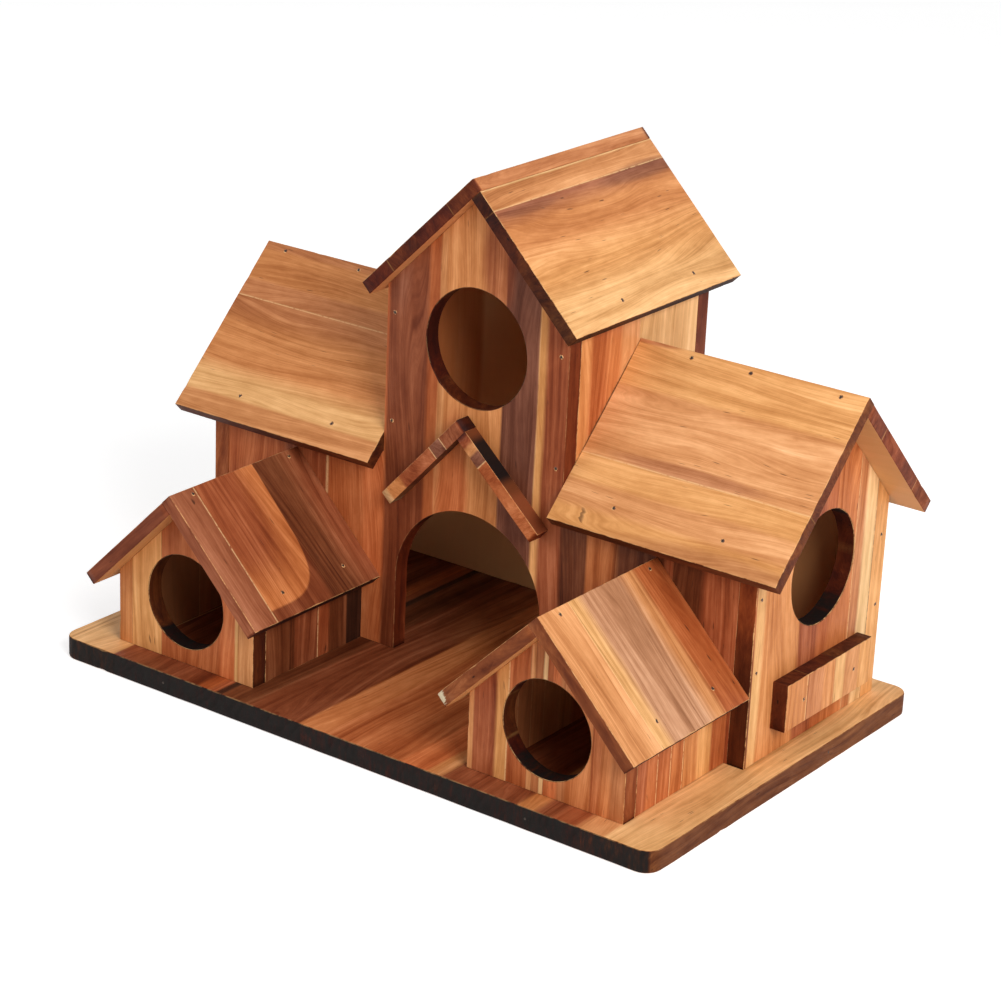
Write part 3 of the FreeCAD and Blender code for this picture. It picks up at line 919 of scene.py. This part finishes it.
def make_nails():
    """Nails, each a profile turned about its own axis: a skirt of torn wood, a shallow domed head just
    proud of the board, the shank and its end. A point is the start plus depth along the nail plus radius
    times the cosine and sine round it. The mesh keeps in "torn" how far out the skirt is."""
    profile = np.array([(0.0, -0.1), (0.35, -0.095), (0.6, -0.07), (0.72, -0.03), (0.75, -0.02),
                        (1.2, -0.012), (1.25, 0.05), (0.7, 0.3), (0.7, 16.9), (0.0, 17.0)])
    skirt = np.array([0, 0, 0, 0.2, 1, 1, 1, 1, 0, 0])
    starts, ways = (np.array(values, float) for values in zip(*nail_places()))
    aside = np.cross(ways, np.where(np.abs(ways[:, :1]) > 0.6, (0, 1.0, 0), (1.0, 0, 0)))
    aside /= np.linalg.norm(aside, axis=1)[:, None]
    beside = np.cross(ways, aside)
    count = 12
    angle = np.arange(count) * 2 * math.pi / count
    around = np.cos(angle)[:, None] * aside[:, None] + np.sin(angle)[:, None] * beside[:, None]
    radius, depth = profile.T[..., None, None]
    points = starts[:, None, None] + depth * ways[:, None, None] + radius * around[:, None]
    grid = np.arange(points[..., 0].size).reshape(points.shape[:3])
    after = np.roll(grid, -1, 2)
    quads = np.stack((grid[:, :-1], grid[:, 1:], after[:, 1:], after[:, :-1]), -1).reshape(-1, 4)
    mesh = bpy.data.meshes.new("nails")
    mesh.from_pydata((points.reshape(-1, 3) / 1000).tolist(), [], quads.tolist())
    torn = np.broadcast_to(skirt[:, None], grid.shape)
    mesh.attributes.new("torn", "FLOAT", "POINT").data.foreach_set("value", torn.ravel().astype(np.float32))
    join_mesh(mesh)
    mesh.shade_smooth()
    mesh.materials.append(nail_material())
    nails = add_object("nails", mesh)
    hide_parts("brads")
    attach(nails, "root")


def join_mesh(mesh):
    """Merges points that coincide and turns all faces outwards."""
    work = bmesh.new()
    work.from_mesh(mesh)
    bmesh.ops.remove_doubles(work, verts=work.verts, dist=1e-7)
    bmesh.ops.recalc_face_normals(work, faces=work.faces)
    work.to_mesh(mesh)
    work.free()


def make_camera():
    """Camera at the photograph's place: turned about the upright, tipped down and rolled a little."""
    azimuth, elevation, roll = view_angles
    forward = Vector((-math.sin(azimuth) * math.cos(elevation), math.cos(azimuth) * math.cos(elevation),
                      -math.sin(elevation)))
    right = Vector((math.cos(azimuth), math.sin(azimuth), 0))
    above = right.cross(forward)
    turned = math.cos(roll) * right + math.sin(roll) * above
    risen = -math.sin(roll) * right + math.cos(roll) * above
    camera = add_object("camera", bpy.data.cameras.new("camera"))
    camera.data.lens = view_lens
    camera.data.sensor_width = 36.0
    camera.data.clip_end = 30.0
    axes = Matrix((turned, risen, -forward)).transposed().to_4x4()
    camera.matrix_world = Matrix.Translation(view_place) @ axes
    bpy.context.scene.camera = camera


def add_lamp(name, place, size, power):
    """Square soft lamp that looks at the middle of the birdhouse."""
    middle = Vector((0, 0, 0.12))
    lamp = add_object(name, bpy.data.lights.new(name, "AREA"))
    lamp.data.size = size
    lamp.data.energy = power
    lamp.location = place
    lamp.rotation_euler = (middle - Vector(place)).to_track_quat("-Z", "Y").to_euler()


def seen_directly(paint):
    """One where the camera, a mirror or a glass looks at the backdrop, else zero."""
    path = paint.put("LightPath").outputs
    seen = paint.work("MAXIMUM", path["Is Camera Ray"], path["Is Glossy Ray"])
    return paint.work("MAXIMUM", seen, path["Is Transmission Ray"])


def make_world():
    """White backdrop that lights the birdhouse more softly than it looks."""
    lit, shown = 0.45, 1.0
    world = bpy.data.worlds.new("studio")
    bpy.context.scene.world = world
    world.use_nodes = True
    paint = Paint(world.node_tree)
    back = world.node_tree.nodes["Background"]
    back.inputs["Color"].default_value = (1, 1, 1, 1)
    paint.feed(back.inputs["Strength"], paint.times_plus(seen_directly(paint), shown - lit, lit))


def floor_material():
    """Pale matt floor, lifted to white where it is looked at."""
    material, paint, shader = new_material("floor_pale")
    shader["Base Color"].default_value = (0.82, 0.82, 0.82, 1)
    shader["Roughness"].default_value = 0.9
    shader["Emission Color"].default_value = (1, 1, 1, 1)
    paint.feed(shader["Emission Strength"], paint.times(seen_directly(paint), 0.52))
    return material


def make_floor():
    """Wide square floor just under the base."""
    edge, level = 6.0, -0.0003
    mesh = bpy.data.meshes.new("floor")
    mesh.from_pydata([(-edge, -edge, level), (edge, -edge, level), (edge, edge, level), (-edge, edge, level)],
                     [], [(0, 1, 2, 3)])
    mesh.materials.append(floor_material())
    floor = add_object("floor", mesh)


make_camera()
make_world()
add_lamp("key", (1.6, -0.8, 1.2), 1.0, 34.0)
add_lamp("fill", (-1.3, -1.4, 0.9), 1.2, 6.0)
make_floor()
set_base()
set_long_walls()
set_tower_roofs()
set_tower_sides()
for house, way in (("right", 1), ("left", -1)):
    set_wing_roofs(house, way)
    set_wing_gable(house, way)
for house, offset, first_seed in (("right", small_offset, 41), ("left", -small_offset, 52)):
    set_small_gable(house, offset, first_seed)
    set_small_sides(house, offset, first_seed + 1)
    set_small_roofs(house, offset, first_seed + 3)
set_canopy()
make_nails()
bpy.context.scene.view_settings.view_transform = "Standard"

bpy.context.view_layer.update()
